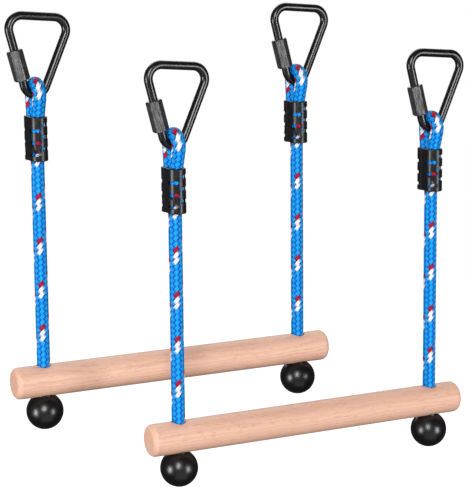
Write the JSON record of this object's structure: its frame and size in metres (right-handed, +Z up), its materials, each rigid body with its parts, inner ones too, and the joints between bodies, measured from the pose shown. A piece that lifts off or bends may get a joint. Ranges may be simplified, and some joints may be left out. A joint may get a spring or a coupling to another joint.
{
  "type": "hanging trapeze bar pair",
  "caption": "Wooden trapeze bars hung level on braided ropes, with ball stoppers below and triangular screw links above, side by side at different heights.",
  "frame": {"origin": "seat of the rear left link: the middle of the underside of its top rod, where a strap or line carries it", "axes": "+X along the bars to the right, +Y away from the front, +Z up"},
  "size_m": [0.4272, 0.135, 0.4327],
  "materials": {
    "beech": "satin",
    "rope": "braided",
    "black_steel": "gloss",
    "nut_steel": "satin",
    "ferrule_plastic": "satin",
    "ball_plastic": "gloss",
    "sleeve_metal": "satin"
  },
  "bodies": {
    "links": {"rear_left_link": "black_steel", "rear_right_link": "black_steel", "front_left_link": "black_steel", "front_right_link": "black_steel"},
    "rear_hangers": {"rear_left_rope_eye": "rope", "rear_left_ferrule": "ferrule_plastic", "rear_right_rope_eye": "rope", "rear_right_ferrule": "ferrule_plastic"},
    "rear_left_rope": {"rear_left_rope": "rope"},
    "rear_right_rope": {"rear_right_rope": "rope"},
    "rear_bar": {"rear_bar": "beech", "rear_left_rope_end": "rope", "rear_left_stop_sleeve": "sleeve_metal", "rear_right_rope_end": "rope", "rear_right_stop_sleeve": "sleeve_metal"},
    "rear_left_nut": {"rear_left_nut": "nut_steel"},
    "rear_left_ball": {"rear_left_ball": "ball_plastic", "rear_left_ball_plug": "ball_plastic"},
    "rear_right_nut": {"rear_right_nut": "nut_steel"},
    "rear_right_ball": {"rear_right_ball": "ball_plastic", "rear_right_ball_plug": "ball_plastic"},
    "front_hangers": {"front_left_rope_eye": "rope", "front_left_ferrule": "ferrule_plastic", "front_right_rope_eye": "rope", "front_right_ferrule": "ferrule_plastic"},
    "front_left_rope": {"front_left_rope": "rope"},
    "front_right_rope": {"front_right_rope": "rope"},
    "front_bar": {"front_bar": "beech", "front_left_rope_end": "rope", "front_left_stop_sleeve": "sleeve_metal", "front_right_rope_end": "rope", "front_right_stop_sleeve": "sleeve_metal"},
    "front_left_nut": {"front_left_nut": "nut_steel"},
    "front_left_ball": {"front_left_ball": "ball_plastic", "front_left_ball_plug": "ball_plastic"},
    "front_right_nut": {"front_right_nut": "nut_steel"},
    "front_right_ball": {"front_right_ball": "ball_plastic", "front_right_ball_plug": "ball_plastic"}
  },
  "joints": [
    {"name": "rear_swing", "type": "hinge", "parent": "links", "child": "rear_hangers", "pos_m": [0.13061, 0, -0.06683], "axis": [1, 0, 0], "range_deg": [-6, 75]},
    {"name": "rear_left_rope_sway", "type": "hinge", "parent": "rear_hangers", "child": "rear_left_rope", "pos_m": [-0.00439, 0, -0.13083], "axis": [0, 1, 0], "range_deg": [-25, 25]},
    {"name": "rear_right_rope_sway", "type": "hinge", "parent": "rear_hangers", "child": "rear_right_rope", "pos_m": [0.26561, 0, -0.13083], "axis": [0, 1, 0], "range_deg": [-25, 25]},
    {"name": "rear_bar_level", "type": "hinge", "parent": "rear_left_rope", "child": "rear_bar", "pos_m": [-0.00439, 0, -0.31673], "axis": [0, 1, 0], "range_deg": [-25, 25]},
    {"name": "rear_left_nut_screw", "type": "slide", "parent": "links", "child": "rear_left_nut", "axis": [-0.2504, 0, 0.9681], "range_m": [0, 0.0155]},
    {"name": "rear_left_ball_spin", "type": "hinge", "parent": "rear_bar", "child": "rear_left_ball", "pos_m": [-0.00439, 0, -0.36403], "axis": [0, 0, 1], "continuous": true},
    {"name": "rear_right_nut_screw", "type": "slide", "parent": "links", "child": "rear_right_nut", "axis": [-0.2504, 0, 0.9681], "range_m": [0, 0.0155]},
    {"name": "rear_right_ball_spin", "type": "hinge", "parent": "rear_bar", "child": "rear_right_ball", "pos_m": [0.26561, 0, -0.36403], "axis": [0, 0, 1], "continuous": true},
    {"name": "front_swing", "type": "hinge", "parent": "links", "child": "front_hangers", "pos_m": [0.22261, -0.1, -0.10883], "axis": [1, 0, 0], "range_deg": [-75, 6]},
    {"name": "front_left_rope_sway", "type": "hinge", "parent": "front_hangers", "child": "front_left_rope", "pos_m": [0.08761, -0.1, -0.17283], "axis": [0, 1, 0], "range_deg": [-25, 25]},
    {"name": "front_right_rope_sway", "type": "hinge", "parent": "front_hangers", "child": "front_right_rope", "pos_m": [0.35761, -0.1, -0.17283], "axis": [0, 1, 0], "range_deg": [-25, 25]},
    {"name": "front_bar_level", "type": "hinge", "parent": "front_left_rope", "child": "front_bar", "pos_m": [0.08761, -0.1, -0.35873], "axis": [0, 1, 0], "range_deg": [-25, 25]},
    {"name": "front_left_nut_screw", "type": "slide", "parent": "links", "child": "front_left_nut", "axis": [-0.2504, 0, 0.9681], "range_m": [0, 0.0155]},
    {"name": "front_left_ball_spin", "type": "hinge", "parent": "front_bar", "child": "front_left_ball", "pos_m": [0.08761, -0.1, -0.40603], "axis": [0, 0, 1], "continuous": true},
    {"name": "front_right_nut_screw", "type": "slide", "parent": "links", "child": "front_right_nut", "axis": [-0.2504, 0, 0.9681], "range_m": [0, 0.0155]},
    {"name": "front_right_ball_spin", "type": "hinge", "parent": "front_bar", "child": "front_right_ball", "pos_m": [0.35761, -0.1, -0.40603], "axis": [0, 0, 1], "continuous": true}
  ],
  "couplings": [
    {"joint": "rear_right_rope_sway", "follows": "rear_left_rope_sway", "ratio": 1},
    {"joint": "rear_bar_level", "follows": "rear_left_rope_sway", "ratio": -1},
    {"joint": "front_right_rope_sway", "follows": "front_left_rope_sway", "ratio": 1},
    {"joint": "front_bar_level", "follows": "front_left_rope_sway", "ratio": -1}
  ]
}
